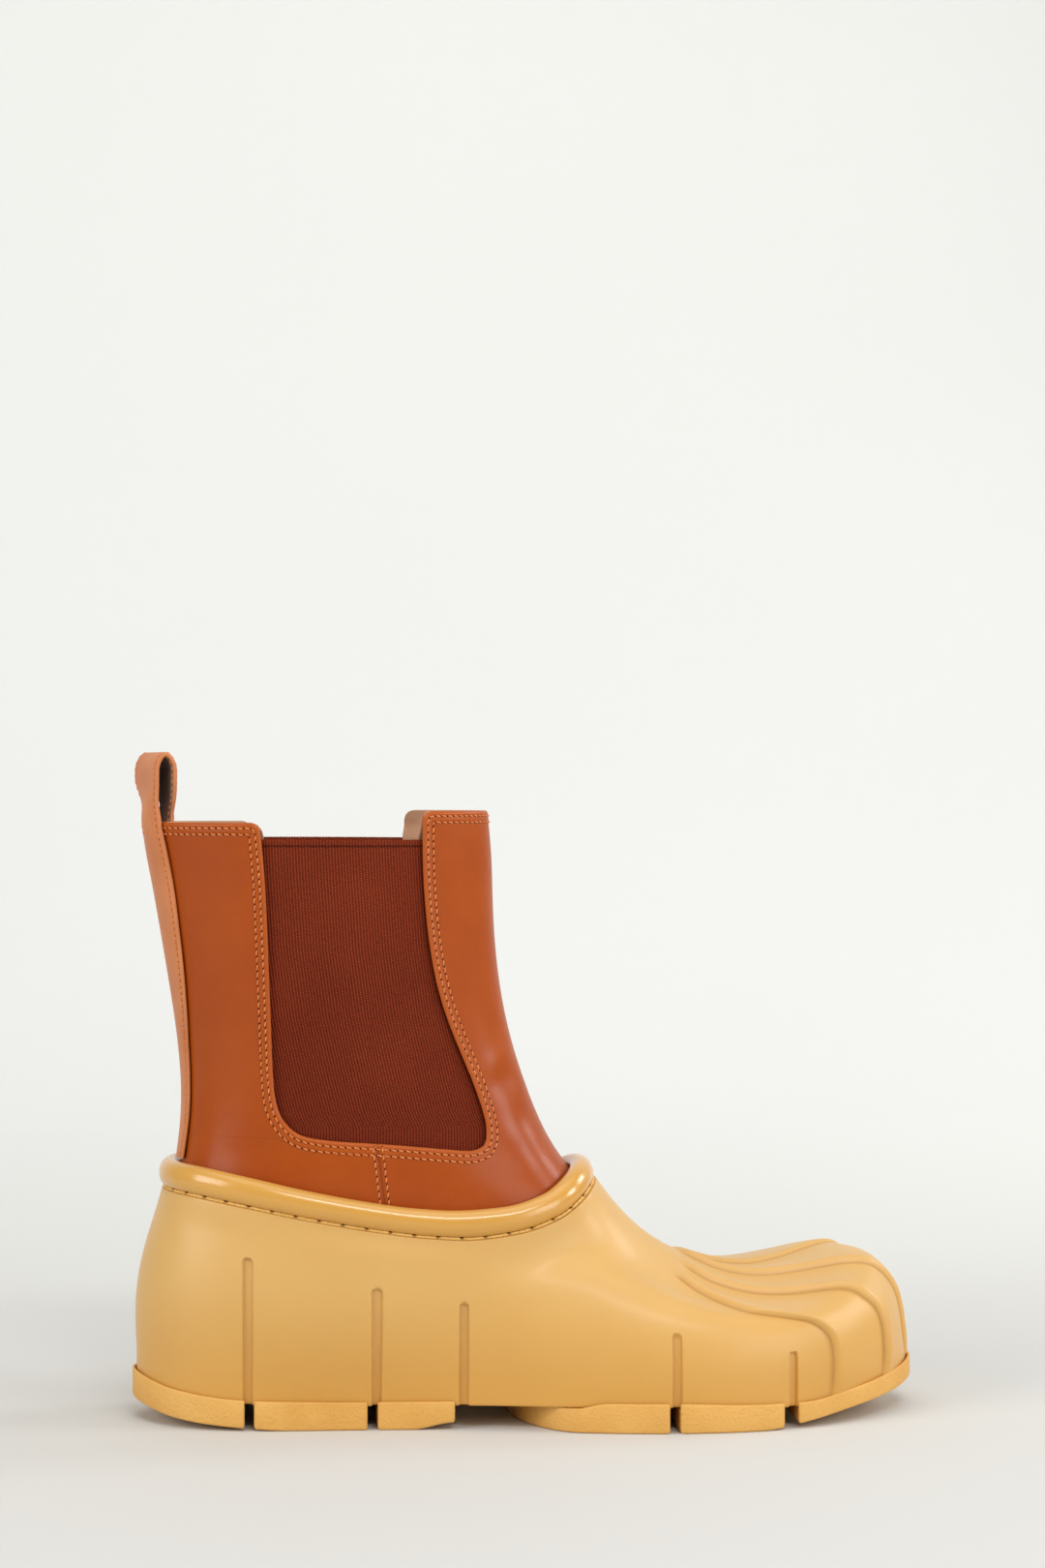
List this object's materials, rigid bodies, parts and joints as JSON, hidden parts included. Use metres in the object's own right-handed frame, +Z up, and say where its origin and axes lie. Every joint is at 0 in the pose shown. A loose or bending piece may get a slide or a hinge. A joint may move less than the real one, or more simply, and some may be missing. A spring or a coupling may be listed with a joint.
{
  "type": "rain boot",
  "caption": "Rain boot for the right foot: a moulded rubber galosh with a ribbed toe, rolled rim and padded tread, and a leather chelsea shaft with elastic gores and a pull loop.",
  "frame": {"origin": "on the floor, under the middle of the boot's bounding box", "axes": "+X to the toe, -Y to the outer side of the right foot, +Z up"},
  "size_m": [0.282, 0.1063, 0.2365],
  "materials": {
    "yellow_rubber": "soft gloss",
    "tread_rubber": "fine pebble",
    "tan_leather": "smooth, waxed",
    "rust_elastic": "fine vertical knit",
    "insole_foam": "matt"
  },
  "bodies": {
    "root": {"galosh": "yellow_rubber", "insole": "insole_foam", "shaft": "tan_leather", "gore_outer": "rust_elastic", "gore_inner": "rust_elastic", "back_strip": "tan_leather", "pull_loop": "tan_leather", "pad_heel_rear": "tread_rubber", "pad_heel_middle": "tread_rubber", "pad_heel_front": "tread_rubber", "pad_ball_rear": "tread_rubber", "pad_ball_front": "tread_rubber", "pad_toe": "tread_rubber"}
  },
  "joints": []
}
